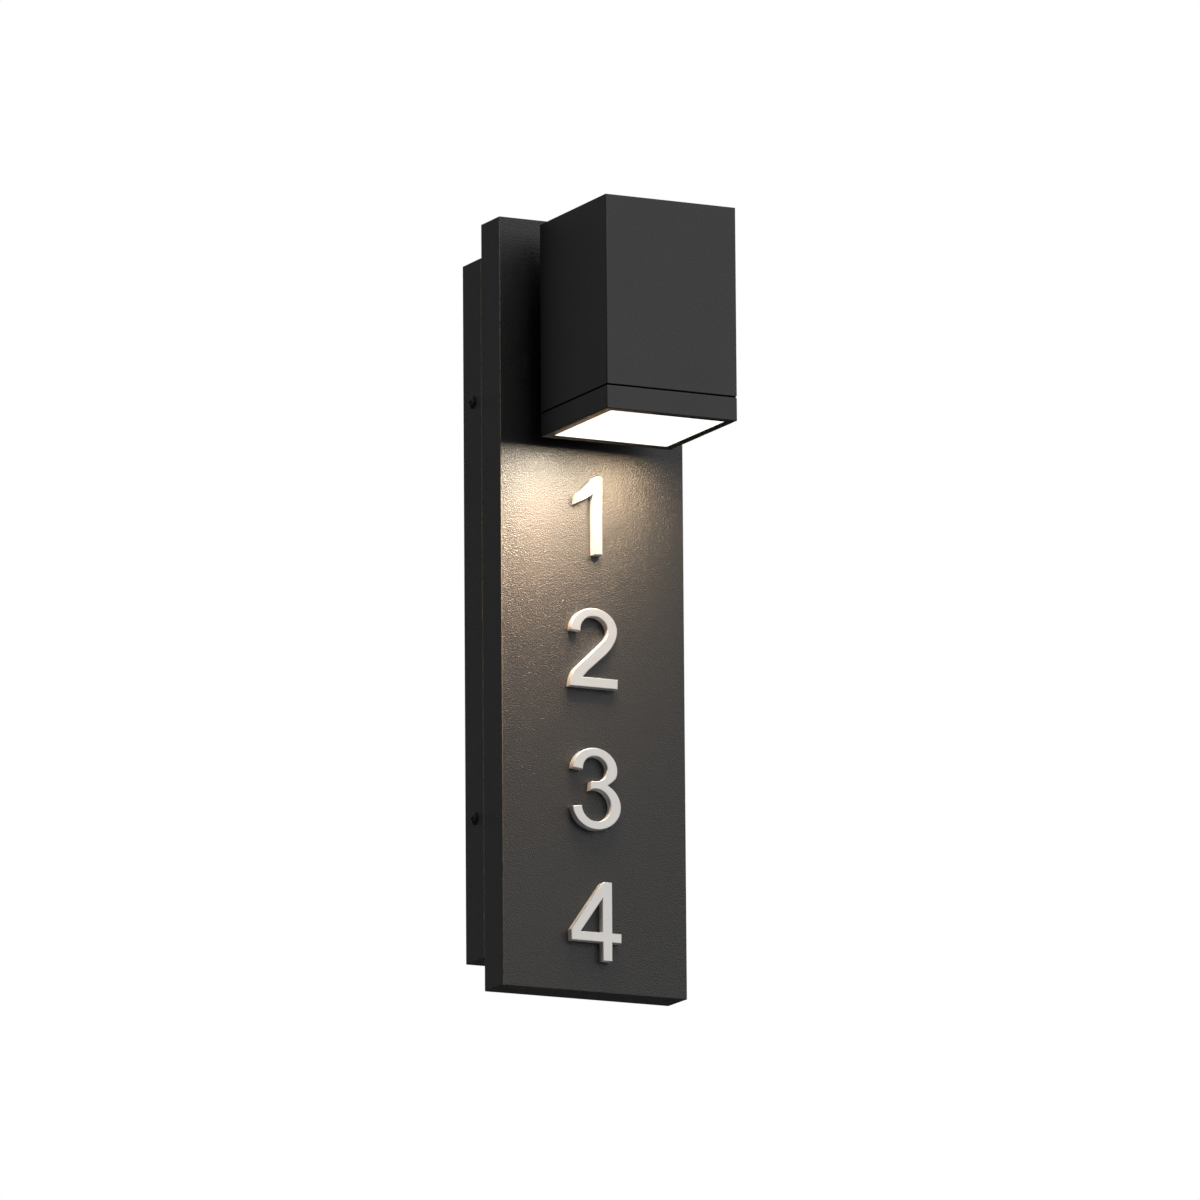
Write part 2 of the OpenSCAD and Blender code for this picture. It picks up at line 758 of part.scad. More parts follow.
module head_neck() {
    color(coat) translate([0, 0, neck_z]) slab(panel_front + neck_gasket_t, head_gap - 2 * neck_gasket_t)
        neck_section(screw_r + thread_gap);
}

module neck_gaskets() {
    color(foam) translate([0, 0, neck_z]) for (d = [panel_front, head_back - neck_gasket_t])
        slab(d, neck_gasket_t) neck_section(screw_r + fit_gap);
}

// Four screws from inside the panel and four from inside the head, all into the neck
module neck_screws() {
    color(zinc) for (sx = [-1, 1], sz = [-1, 1]) translate([sx * neck_x, 0, neck_z + sz * neck_dz]) {
        head_to_wall(panel_inner)
            pan_screw(screw_r, panel_wall + neck_gasket_t + neck_bite, screw_head_r, screw_head_h);
        head_to_front(head_back + head_wall)
            pan_screw(screw_r, head_wall + neck_gasket_t + neck_bite, screw_head_r, screw_head_h);
    }
}

// Lamp head: a shell open below, a shoulder and a spigot for the bezel, and four bosses for the heat sink
module head_housing() {
    in_w = head_w - 2 * head_wall;
    in_dp = head_dp - 2 * head_wall;
    boss_foot = sink_z + sink_t;
    color(coat) difference() {
        union() {
            difference() {
                column(shell_foot, head_top - shell_foot) rounded_rect(head_w, head_dp, head_r);
                column(shell_foot + head_wall, head_top - head_top_t - shell_foot - head_wall)
                    square([in_w, in_dp], center = true);
            }
            column(seal_plane, shell_foot - seal_plane + cut) square([spigot_w, spigot_dp], center = true);
            column(shell_foot - reveal_h, reveal_h + cut)
                square([head_w - 2 * reveal_d, head_dp - 2 * reveal_d], center = true);
            column(boss_foot, head_top - boss_foot - cut) corners(boss_at, boss_at) circle(boss_r);
            for (sx = [-1, 1], sy = [-1, 1])
                translate([sx * (boss_at + in_w / 2) / 2, sy * boss_at - head_mid, (boss_foot + head_top) / 2])
                    cube([in_w / 2 - boss_at + cut, rib_t, head_top - boss_foot - cut], center = true);
        }
        column(seal_plane - cut, shell_foot + head_wall - seal_plane + 2 * cut)
            square([mouth_w, mouth_dp], center = true);
        column(boss_foot - cut, sink_bite + pilot_end + cut) corners(boss_at, boss_at)
            circle(small_r + thread_gap);
        for (sx = [-1, 1]) {
            translate([sx * bezel_screw_x, -head_back, bezel_screw_z]) rotate([90, 0, 0])
                cylinder(r = small_r + thread_gap, h = head_wall + spigot_wall + cut);
            translate([sx * hook_x - hook_w / 2 - fit_gap, -head_mid - spigot_dp / 2 - cut, hook_z - fit_gap])
                cube([hook_w + 2 * fit_gap, hook_t + cut, hook_h + 2 * fit_gap]);
        }
        slab(head_back - cut, head_wall + 2 * cut) {
            translate([0, neck_z]) corners(neck_x, neck_dz) circle(screw_r + fit_gap);
            translate([led_x, board_z + board_t / 2]) circle(led_hole_r);
        }
    }
}

// Finned plate under the housing's bosses, notched at the back for the leads
module heat_sink() {
    color(bare_metal) difference() {
        union() {
            column(sink_z, sink_t) square([sink_w, sink_w], center = true);
            for (i = [-fins : fins]) column(sink_z, sink_t + fin_h)
                translate([i * fin_pitch, 0]) square([fin_t, sink_w], center = true);
        }
        column(sink_z - cut, sink_t + fin_h + 2 * cut) {
            corners(boss_at, boss_at) circle(small_r + fit_gap);
            translate([led_x, sink_w / 2])
                square(2 * [led_lead_gap + led_lead_r + notch_play, sink_rim + fit_gap], center = true);
        }
        column(sink_z - cut, sink_t + cut) corners(board_screw, board_screw) circle(small_r + thread_gap);
    }
}

// Four screws up through the heat sink's base into the housing's bosses
module heat_sink_screws() {
    color(zinc) for (sx = [-1, 1], sy = [-1, 1]) translate([sx * boss_at, sy * boss_at - head_mid, sink_z])
        rotate([180, 0, 0]) pan_screw(small_r, sink_t + sink_bite, small_head_r, small_head_h);
}

module led_board() {
    color([0.95, 0.95, 0.93]) difference() {
        column(board_z, board_t) square([board_w, board_w], center = true);
        column(board_z - cut, board_t + 2 * cut) corners(board_screw, board_screw) circle(small_r + fit_gap);
    }
}

module led_chips() {
    color([0.95, 0.85, 0.4]) for (i = [0 : leds - 1], j = [0 : leds - 1])
        column(board_z - led_t, led_t)
            translate([(i - (leds - 1) / 2) * led_pitch, (j - (leds - 1) / 2) * led_pitch])
                square([led_w, led_w], center = true);
}

module engine_screws() {
    color(zinc) for (sx = [-1, 1], sy = [-1, 1])
        translate([sx * board_screw, sy * board_screw - head_mid, board_z]) rotate([180, 0, 0])
            pan_screw(small_r, board_t + sink_t - fit_gap, small_head_r, small_head_h);
}

// Solid taper from a low mouth of w by dp up to a square of side top, both about the head's middle
module reflector_form(w, dp, top) {
    hull() {
        column(seal_plane, thin) square([w, dp], center = true);
        column(board_z - thin, thin) square([top, top], center = true);
    }
}

// Tapered white liner from the LED board down to a flange on the lens gasket
module reflector() {
    color(white_part) difference() {
        union() {
            reflector_form(light_w + 2 * reflector_t, light_dp + 2 * reflector_t, 2 * (throat + reflector_t));
            column(seal_plane, reflector_t)
                square([mouth_w - 2 * fit_gap, mouth_dp - 2 * fit_gap], center = true);
        }
        translate([0, 0, -thin]) reflector_form(light_w, light_dp, 2 * throat);
        translate([0, 0, thin]) reflector_form(light_w, light_dp, 2 * throat);
    }
}

module lens_gasket() {
    color(silicone) column(seal_plane - gasket_t, gasket_t) difference() {
        square([spigot_w - 2 * fit_gap, spigot_dp - 2 * fit_gap], center = true);
        square([light_w, light_dp], center = true);
    }
}

// Opal diffuser: a block in the rim's opening under a flange on the lip
module lens() {
    color(opal) {
        column(head_foot + lens_recess, lip_t - lens_recess + lens_flange_t)
            square([open_w - 2 * fit_gap, open_dp - 2 * fit_gap], center = true);
        column(head_foot + lip_t, lens_flange_t)
            square([spigot_w, spigot_dp], center = true);
    }
}

// Square ring with a lip for the lens, and hooks at the front
module bezel() {
    color(coat) {
        difference() {
            column(head_foot, bezel_h) rounded_rect(head_w, head_dp, head_r);
            column(head_foot + lip_t, bezel_h)
                square([head_w - 2 * bezel_wall, head_dp - 2 * bezel_wall], center = true);
            column(head_foot - cut, bezel_h)
                square([open_w, open_dp], center = true);
            for (sx = [-1, 1]) translate([sx * bezel_screw_x, cut - head_back, bezel_screw_z])
                rotate([90, 0, 0]) cylinder(r = small_r + fit_gap, h = bezel_wall + 2 * cut);
        }
        for (sx = [-1, 1])
            translate([sx * hook_x - hook_w / 2, -head_mid - head_dp / 2 + bezel_wall / 2, hook_z])
                cube([hook_w, bezel_wall / 2 + hook_t, hook_h]);
    }
}

// Two screws through the bezel's back into the spigot
module bezel_screws() {
    color(coat) for (sx = [-1, 1]) translate([sx * bezel_screw_x, 0, bezel_screw_z])
        head_to_wall(head_back)
            pan_screw(small_r, bezel_wall + fit_gap + spigot_wall, small_head_r, small_head_h);
}

mounting_plate();
ground_screw();
ground_lead();
wall_canopy();
canopy_gasket();
canopy_side_screws();
canopy_screws();
terminal_block();
terminal_screws();
supply_leads();
wire_grommet();
panel_back_cover();
cover_screws();
face_panel();
digit_1();
digit_2();
digit_3();
digit_4();
digit_nuts();
led_driver();
driver_screws();
led_leads();
head_neck();
neck_gaskets();
neck_screws();
head_housing();
heat_sink();
heat_sink_screws();
led_board();
led_chips();
engine_screws();
reflector();
lens_gasket();
lens();
bezel();
bezel_screws();
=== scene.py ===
import math

import bmesh
import bpy
import numpy as np
from mathutils import Matrix, Vector
from mathutils.geometry import tessellate_polygon


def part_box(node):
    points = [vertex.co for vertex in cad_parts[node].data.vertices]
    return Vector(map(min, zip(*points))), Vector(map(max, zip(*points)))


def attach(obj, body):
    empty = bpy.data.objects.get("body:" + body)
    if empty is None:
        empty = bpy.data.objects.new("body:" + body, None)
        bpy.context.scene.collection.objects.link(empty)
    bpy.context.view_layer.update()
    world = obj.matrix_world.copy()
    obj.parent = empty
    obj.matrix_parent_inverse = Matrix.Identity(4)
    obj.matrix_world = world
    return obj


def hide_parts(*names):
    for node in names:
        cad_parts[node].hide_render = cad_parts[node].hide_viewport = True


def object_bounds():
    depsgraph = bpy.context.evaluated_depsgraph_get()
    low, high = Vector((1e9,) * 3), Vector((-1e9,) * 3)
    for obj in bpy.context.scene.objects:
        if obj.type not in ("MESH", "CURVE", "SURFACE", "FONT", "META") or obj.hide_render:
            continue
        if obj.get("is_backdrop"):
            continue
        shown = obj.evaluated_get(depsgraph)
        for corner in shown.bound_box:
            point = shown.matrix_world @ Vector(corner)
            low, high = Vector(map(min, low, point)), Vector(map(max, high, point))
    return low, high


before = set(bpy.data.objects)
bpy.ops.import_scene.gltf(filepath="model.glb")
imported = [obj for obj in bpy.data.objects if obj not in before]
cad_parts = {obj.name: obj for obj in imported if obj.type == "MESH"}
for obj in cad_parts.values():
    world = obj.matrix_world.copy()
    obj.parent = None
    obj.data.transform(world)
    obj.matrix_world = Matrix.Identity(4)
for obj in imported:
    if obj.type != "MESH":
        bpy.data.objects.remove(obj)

cad_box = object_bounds()

# The view: a long lens from below and to the left of the sconce, looking up at it. The view axis meets the
# wall at the target point, and the three angles turn the camera from a level look along +Y.
MM = 0.001
target = Vector((29.4, 0, 16.1)) * MM
distance = 8.1
yaw = math.radians(26.515)
pitch = math.radians(11.817)
roll = math.radians(-0.403)
focal_length = 410.32
film_width = 36
look = Vector((math.sin(yaw) * math.cos(pitch), math.cos(yaw) * math.cos(pitch), math.sin(pitch)))
camera_data = bpy.data.cameras.new("camera")
camera_data.lens = focal_length
camera_data.sensor_width = film_width
camera_data.clip_end = 100
camera = bpy.data.objects.new("camera", camera_data)
bpy.context.scene.collection.objects.link(camera)
camera.matrix_world = (
    Matrix.Translation(target - distance * look)
    @ Matrix.Rotation(-yaw, 4, "Z")
    @ Matrix.Rotation(math.pi / 2 + pitch, 4, "X")
    @ Matrix.Rotation(roll, 4, "Z"))
bpy.context.scene.camera = camera
bpy.context.scene.view_settings.view_transform = "Standard"


# The studio: a white room in front of the sconce. It is dim on the left, dim behind the sconce, where a wall
# would keep the light off, and black below the horizon. The camera itself sees plain white all round.
def add(tree, kind, inputs=(), **settings):
    """Adds a shader node with its settings. inputs gives each socket a value, or an output to link to it."""
    node = tree.nodes.new("ShaderNode" + kind)
    for name, value in settings.items():
        setattr(node, name, value)
    for socket, value in dict(inputs).items():
        if isinstance(value, bpy.types.NodeSocket):
            tree.links.new(value, node.inputs[socket])
        else:
            node.inputs[socket].default_value = value
    return node


def linear(code):
    """Linear RGBA of an sRGB hex colour: a power curve of 2.4, straight near black."""
    srgb = [int(code[i:i + 2], 16) / 255 for i in (1, 3, 5)]
    return [c / 12.92 if c <= 0.04045 else ((c + 0.055) / 1.055) ** 2.4 for c in srgb] + [1.0]


dim_left = 0.15
dim_behind = 0.17
matt_share = 0.9
world = bpy.data.worlds.new("studio")
bpy.context.scene.world = world
world.use_nodes = True
tree = world.node_tree
tree.nodes.clear()
direction = add(tree, "TexCoord").outputs["Generated"]
along = add(tree, "SeparateXYZ", {0: direction}).outputs
right = add(tree, "MapRange", {"Value": along["X"], "From Min": -0.4, "From Max": 0.1, "To Min": dim_left},
            interpolation_type="SMOOTHSTEP").outputs[0]
front = add(tree, "MapRange",
            {"Value": along["Y"], "From Min": 0.1, "From Max": -0.2, "To Min": dim_behind, "To Max": right},
            interpolation_type="SMOOTHSTEP").outputs[0]
above = add(tree, "MapRange", {"Value": along["Z"], "From Min": -0.17, "From Max": 0.07},
            interpolation_type="SMOOTHSTEP").outputs[0]
room = add(tree, "Math", {0: front, 1: above}, operation="MULTIPLY").outputs[0]
ray = add(tree, "LightPath").outputs
mirrored = add(tree, "Math", {0: ray["Is Glossy Ray"], 1: ray["Is Transmission Ray"]},
               operation="MAXIMUM").outputs[0]
level = add(tree, "MapRange", {"Value": mirrored, "To Min": matt_share}).outputs[0]
lit = add(tree, "Math", {0: room, 1: level}, operation="MULTIPLY").outputs[0]
strength = add(tree, "Math", {0: lit, 1: ray["Is Camera Ray"]}, operation="MAXIMUM").outputs[0]
sky = add(tree, "Background", {"Color": linear("#ffffff"), "Strength": strength}).outputs[0]
add(tree, "OutputWorld", {"Surface": sky})


# The floor is screed under a pale matt paint, as far below the sconce as on a porch. The roller leaves the
# paint faintly mottled. The camera sees it a little brighter than it is lit, so that it stays pale.
def mesh_piece(name, points, faces, material, smooth=30):
    """A mesh object from points in metres and faces, shaded smooth but for edges of over smooth degrees."""
    mesh = bpy.data.meshes.new(name)
    mesh.from_pydata(np.asarray(points, float).tolist(), [], faces)
    mesh.polygons.foreach_set("use_smooth", np.ones(len(mesh.polygons), bool))
    mesh.set_sharp_from_angle(angle=math.radians(smooth))
    mesh.materials.append(material)
    piece = bpy.data.objects.new(name, mesh)
    bpy.context.scene.collection.objects.link(piece)
    return piece


def finish_named(name):
    """An empty node material: returns the material, its tree and its output node."""
    material = bpy.data.materials.new(name)
    material.use_nodes = True
    material.node_tree.nodes.clear()
    return material, material.node_tree, add(material.node_tree, "OutputMaterial")


floor_z = -1.75
floor_half = 1.5
brighter = 0.45
mottles_per_metre = 6
floor_paint, tree, out = finish_named("pale_matt_floor_paint")
place = add(tree, "TexCoord").outputs["Object"]
mottle = add(tree, "TexNoise", {"Vector": place, "Scale": mottles_per_metre, "Detail": 4}).outputs["Fac"]
tone = add(tree, "MapRange", {"Value": mottle, "To Min": 0.86, "To Max": 0.9}).outputs[0]
matt = add(tree, "BsdfDiffuse", {"Color": tone}).outputs[0]
seen = add(tree, "LightPath").outputs["Is Camera Ray"]
lift = add(tree, "Math", {0: seen, 1: brighter}, operation="MULTIPLY").outputs[0]
glow = add(tree, "Emission", {"Strength": lift}).outputs[0]
tree.links.new(add(tree, "AddShader", {0: matt, 1: glow}).outputs[0], out.inputs["Surface"])
square = np.array([(-1, -1), (1, -1), (1, 1), (-1, 1)]) * floor_half
floor = mesh_piece("floor", np.column_stack([square, np.full(4, floor_z)]), [(0, 1, 2, 3)], floor_paint)
floor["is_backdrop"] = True


# The lamp behind: one soft square lamp above and behind the right of the sconce. It keeps the back and the
# inside of the canopy from going black, and doesn't reach the faces that the camera sees.
def area_lamp(name, place, way, size, power, colour=(1, 1, 1), spread=180):
    """A rectangular lamp that the camera doesn't see, at place and turned to shine along way, with its width
    and height in metres, its power in watts and the spread of its light in degrees."""
    data = bpy.data.lights.new(name, "AREA")
    data.shape = "RECTANGLE"
    data.size, data.size_y = size
    data.energy = power
    data.color = colour
    data.spread = math.radians(spread)
    light = bpy.data.objects.new(name, data)
    bpy.context.scene.collection.objects.link(light)
    light.location = place
    light.rotation_euler = Vector(way).to_track_quat("-Z", "Y").to_euler()
    light.visible_camera = False


behind = Vector((0.9, 1.6, 0.5))
area_lamp("lamp_behind", behind, -behind, (0.8, 0.8), 14)


# The mounting plate is bent from galvanised steel sheet and screwed to the junction box. Hot dipping leaves a
# zinc skin of flat crystals, each with its own shade and sheen.
def in_millimetres(tree):
    """The place on the object in millimetres, in the frame of the whole sconce."""
    place = add(tree, "TexCoord").outputs["Object"]
    return add(tree, "VectorMath", {0: place, 1: (1000, 1000, 1000)}, operation="MULTIPLY").outputs[0]


def finish(name, pale, deep, rough, metallic=0.0, patch=12.0, grain=0.5, relief=0.01, stretch=(1, 1, 1),
           crystals=False, shine=0.5):
    """A finish that runs between two tones in patches patch mm wide, under a grain of a given width and
    relief in mm. stretch below 1 draws the grain out along an axis, crystals gives the patches straight
    borders, and shine is the specular level."""
    grain_share = 0.4
    sheen_range = 0.07
    material, tree, out = finish_named(name)
    in_mm = in_millimetres(tree)
    drawn = add(tree, "VectorMath", {0: in_mm, 1: stretch}, operation="MULTIPLY").outputs[0]
    if crystals:
        colours = add(tree, "TexVoronoi", {"Vector": in_mm, "Scale": 1 / patch}).outputs["Color"]
        cloud = add(tree, "SeparateXYZ", {0: colours}).outputs["X"]
    else:
        cloud = add(tree, "TexNoise", {"Vector": in_mm, "Scale": 1 / patch, "Detail": 3}).outputs["Fac"]
    grit = add(tree, "TexNoise", {"Vector": drawn, "Scale": 1 / grain, "Detail": 2}).outputs["Fac"]
    mixed = add(tree, "Mix", {0: grain_share, 2: cloud, 3: grit}).outputs[0]
    tone = add(tree, "Mix", {0: mixed, 6: linear(deep), 7: linear(pale)}, data_type="RGBA").outputs[2]
    sheen = add(tree, "MapRange", {"Value": mixed, "To Min": rough - sheen_range,
                                   "To Max": rough + sheen_range}).outputs[0]
    bump = add(tree, "Bump", {"Height": grit, "Distance": relief * MM}).outputs[0]
    shader = add(tree, "BsdfPrincipled", {"Base Color": tone, "Roughness": sheen, "Metallic": metallic,
                                          "Normal": bump, "Specular IOR Level": shine})
    tree.links.new(shader.outputs[0], out.inputs["Surface"])
    return material


def eased(node, material, width=0.3 * MM, inner=True, corners=None):
    """A copy of a CAD node with its triangles joined and its sharp edges rounded over by width: those at the
    outside of its box, and with inner the other long ones too. corners is a second finish, a pale painted
    highlight, for its upright corners on the left, clear of the wall. Where those are sharp, they are cut
    back to carry it."""
    cut = 0.35 * MM
    clear_of_wall = -10 * MM
    sharp_angle = math.radians(40)
    long_edge = 10 * width
    low, high = (np.array(corner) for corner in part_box(node))
    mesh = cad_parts[node].data.copy()
    mesh.name = node + "_skin"
    form = bmesh.new()
    form.from_mesh(mesh)
    bmesh.ops.remove_doubles(form, verts=form.verts, dist=1e-7)
    weight = form.edges.layers.float.new("bevel_weight_edge")
    posts = []
    for edge in form.edges:
        start, end = (vert.co for vert in edge.verts)
        middle = np.array((start + end) / 2)
        outermost = np.sum(np.minimum(middle - low, high - middle) < 2 * width) > 1
        sharp = len(edge.link_faces) == 2 and edge.calc_face_angle() > sharp_angle
        rounded = sharp and (outermost or inner and edge.calc_length() > long_edge)
        upright = abs(start.z - end.z) > 0.99 * edge.calc_length()
        at_left = middle[0] < 0 and middle[1] < clear_of_wall
        if corners and rounded and outermost and upright and at_left:
            posts.append(edge)
        else:
            edge[weight] = float(rounded)
    for face in form.faces:
        # The corner faces on the left take the painted highlight.
        turned = min(abs(face.normal.x), abs(face.normal.y)) > 0.1 and abs(face.normal.z) < 0.1
        middle = face.calc_center_median()
        face.material_index = int(bool(corners) and turned and middle.x < 0 and middle.y < clear_of_wall)
    bmesh.ops.bevel(form, geom=posts, offset=cut, segments=2, profile=0.5, affect="EDGES", material=1,
                    clamp_overlap=False)
    mesh.materials.clear()
    for coat in (material, corners or material):
        mesh.materials.append(coat)
    form.to_mesh(mesh)
    form.free()
    piece = bpy.data.objects.new(node + "_skin", mesh)
    bpy.context.scene.collection.objects.link(piece)
    bevel = piece.modifiers.new("edges", "BEVEL")
    bevel.width = width
    bevel.segments = 2
    bevel.limit_method = "WEIGHT"
    bevel.use_clamp_overlap = False
    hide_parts(node)
    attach(piece, "root")


galvanised = finish("galvanised_steel", "#b9bdc0", "#8d9296", 0.38, 1.0, patch=7, grain=0.8, relief=0.006,
                    crystals=True)
eased("mounting_plate", galvanised, 0.2 * MM)


# The earth screw is steel dyed green over bright zinc, so it shines like a lacquered part. The earth lead is
# copper strand in green PVC, which is extruded: smooth, softly glossy, with faint draw lines along it.
def dress(node, material):
    """Gives a CAD node its finish in every one of its material slots."""
    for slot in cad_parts[node].material_slots:
        slot.material = material


green_dye = finish("green_dyed_zinc", "#2f8a48", "#1d6b34", 0.3, 1.0, patch=3, grain=0.3, relief=0.004)
green_pvc = finish("green_pvc_insulation", "#5c9a3a", "#4c8a2e", 0.42, patch=15, grain=0.4, relief=0.008,
                   stretch=(1, 1, 0.1))
dress("ground_screw", green_dye)
dress("ground_lead", green_pvc)


# The coated shells: the canopy, the panel, the neck, the head and the bezel are aluminium with a black powder
# coat, sprayed on dry and baked. It is a deep matt black with softly broken edges, and its skin is a leather
# grain on the canopy and the panel and a fine orange peel on the rest, drawn as wide as it needs to show.
def powder_coat(name, colour, grain, relief, roughness, shine=0.8):
    """Powder coat: grain is the width of one dimple of its skin in mm, relief its depth in mm, and shine its
    specular level, where 0.5 is a plain lacquer. The dimples are drawn out along a slant, and carry a painted
    shade: their colour is darker in their hollows than on their crests. The roughness drifts in clouds
    drift_width mm wide."""
    slant = math.radians(40)
    draw_out = 1.5
    hollow_shade_contrast = 0.5
    drift = 0.03
    drift_width = 30
    material, tree, out = finish_named(name)
    in_mm = in_millimetres(tree)
    turned = add(tree, "VectorRotate", {"Vector": in_mm, "Axis": (0, 1, 0), "Angle": slant}).outputs[0]
    drawn = add(tree, "VectorMath", {0: turned, 1: (1, draw_out, draw_out)}, operation="MULTIPLY").outputs[0]
    skin = add(tree, "TexNoise", {"Vector": drawn, "Scale": 1 / grain, "Detail": 0}).outputs["Fac"]
    bump = add(tree, "Bump", {"Height": skin, "Distance": relief * MM, "Strength": 1}).outputs[0]
    cloud = add(tree, "TexNoise", {"Vector": in_mm, "Scale": 1 / drift_width, "Detail": 3}).outputs["Fac"]
    # Painted shade: the coat's colour is darker in the dimples' hollows than on their crests.
    painted_hollow_shade = add(tree, "MapRange", {"Value": skin, "From Min": 0.3, "From Max": 0.7}).outputs[0]
    deep = [c * (1 - hollow_shade_contrast) for c in linear(colour)[:3]] + [1]
    pale = [c * (1 + hollow_shade_contrast) for c in linear(colour)[:3]] + [1]
    paint = add(tree, "Mix", {0: painted_hollow_shade, 6: deep, 7: pale}, data_type="RGBA").outputs[2]
    rough = add(tree, "MapRange", {"Value": cloud, "To Min": roughness - drift,
                                   "To Max": roughness + drift}).outputs[0]
    shell = add(tree, "BsdfPrincipled", {"Base Color": paint, "Roughness": rough, "Normal": bump,
                                         "Specular IOR Level": shine}).outputs[0]
    tree.links.new(shell, out.inputs["Surface"])
    return material


black_coat = powder_coat("leather_black_powder_coat", "#040404", grain=0.75, relief=0.25, roughness=0.385)
fine_coat = powder_coat("fine_black_powder_coat", "#040404", grain=0.75, relief=0.09, roughness=0.42)
# A painted highlight: a thin, dull and pale line down each upright corner on the left, where the edge catches
# the light.
painted_corner_highlight = powder_coat("painted_highlight_on_corners", "#988b7b", grain=0.8, relief=0.02, roughness=0.8,
                        shine=0.1)
for node in ("wall_canopy", "face_panel"):
    eased(node, black_coat, 0.2 * MM, corners=painted_corner_highlight)
for node in ("head_neck", "head_housing"):
    eased(node, fine_coat, 0.2 * MM)
eased("bezel", fine_coat, 0.45 * MM, inner=False)

# The screws in sight are steel pan heads with a cross recess. The canopy's four side screws are powder coated
# with it. The bezel's two are plated with black zinc, which is smoother than the coat beside them. A washer
# of black rubber, quite matt, sits under each side screw and keeps rain out; its black rim just under the
# head is also painted shade, a thin dark line where the head's shade falls.
black_zinc = finish("black_zinc_plate", "#1b1b1c", "#101011", 0.36, 0.6, patch=3, grain=0.25, relief=0.01)
dress("bezel_screws", black_zinc)
dress("canopy_side_screws", fine_coat)
washer_rubber_and_shade = finish("black_rubber_washer_and_painted_shade", "#0d0d0d", "#060606", 0.85, patch=2, grain=0.3, relief=0.02,
                shine=0.05)
washer_in = 2.1 * MM
washer_out = 3.7 * MM
washer_t = 0.5 * MM
low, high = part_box("canopy_side_screws")
side_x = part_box("wall_canopy")[1].x
head_r = (high.y - low.y) / 2
screw_y = (low.y + high.y) / 2
screw_z = high.z - head_r


def washers(centres, ways, steps=40):
    """A round washer at each centre, which faces +X or -X: its section, a flat box with an arc at its outer
    edge, is turned about X."""
    arc = np.radians(np.linspace(-90, 90, 7))
    half = washer_t / 2
    r = np.concatenate([[washer_in], washer_out - half + half * np.cos(arc), [washer_in]])
    x = np.concatenate([[0], half + half * np.sin(arc), [washer_t]])
    angle = np.linspace(0, 2 * math.pi, steps, endpoint=False)[:, None]
    ring = np.stack([x + 0 * angle, r * np.cos(angle), r * np.sin(angle)], -1)
    i, k = np.meshgrid(np.arange(steps), np.arange(len(r)), indexing="ij")
    ni, nk = (i + 1) % steps, (k + 1) % len(r)
    quads = np.stack([i * len(r) + k, i * len(r) + nk, ni * len(r) + nk, ni * len(r) + k], -1)
    quads = quads.reshape(-1, 4)
    points = [ring.reshape(-1, 3) * (way, 1, 1) + centre for centre, way in zip(centres, ways)]
    faces = [(quads if way > 0 else quads[:, ::-1]) + n * ring.size // 3 for n, way in enumerate(ways)]
    return np.vstack(points), np.vstack(faces).tolist()


sides = [(sx, sz) for sx in (-1, 1) for sz in (-1, 1)]
centres = [(sx * side_x, screw_y, sz * screw_z) for sx, sz in sides]
seals = mesh_piece("side_screw_washers", *washers(centres, [sx for sx, sz in sides]), washer_rubber_and_shade, smooth=50)
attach(seals, "root")

# The reveal seal: a cord of black rubber, drawn from a round-nosed die and laid in the groove between the
# head and the bezel. It keeps rain out of the joint, and its dead matt black is also painted shade: it stands
# in for the shade deep in the groove, so the groove reads as one black line.
cord_rubber_and_shade = finish("black_rubber_cord_and_painted_shade", "#070707", "#030303", 0.9, patch=6, grain=0.3, relief=0.02,
                     shine=0.03)
reveal_h = 0.9 * MM
cord_fill = 0.96
cord_back = 0.69 * MM
cord_middle = 0.5 * MM
cord_face = 0.3 * MM
cord_corner = 1.2 * MM


def square_cord(low, high, corner, depth, z, steps=7):
    """A closed cord round a rectangle: its section, given as depths inward and heights, follows the arc of
    each corner."""
    rings = []
    for quarter, (sx, sy) in enumerate(((1, 1), (-1, 1), (-1, -1), (1, -1))):
        turn = (np.radians(np.linspace(0, 90, steps)) + quarter * math.pi / 2)[:, None]
        cx = (low.x + high.x) / 2 + sx * ((high.x - low.x) / 2 - corner)
        cy = (low.y + high.y) / 2 + sy * ((high.y - low.y) / 2 - corner)
        r = corner - depth
        rings.append(np.stack([cx + r * np.cos(turn), cy + r * np.sin(turn), z + 0 * turn], -1))
    rings = np.vstack(rings)
    n, m = rings.shape[:2]
    i, k = np.meshgrid(np.arange(n), np.arange(m), indexing="ij")
    ni, nk = (i + 1) % n, (k + 1) % m
    quads = np.stack([i * m + k, ni * m + k, ni * m + nk, i * m + nk], -1)
    return rings.reshape(-1, 3), quads.reshape(-1, 4).tolist()


low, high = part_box("bezel")
arc = np.radians(np.linspace(-90, 90, 9))
depth = np.concatenate([[cord_back], cord_middle + (cord_face - cord_middle) * np.cos(arc), [cord_back]])
z = high.z + reveal_h / 2 * (1 + cord_fill * np.concatenate([[-1], np.sin(arc), [1]]))
cord = mesh_piece("reveal_seal", *square_cord(low, high, cord_corner, depth, z), cord_rubber_and_shade, smooth=50)
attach(cord, "root")

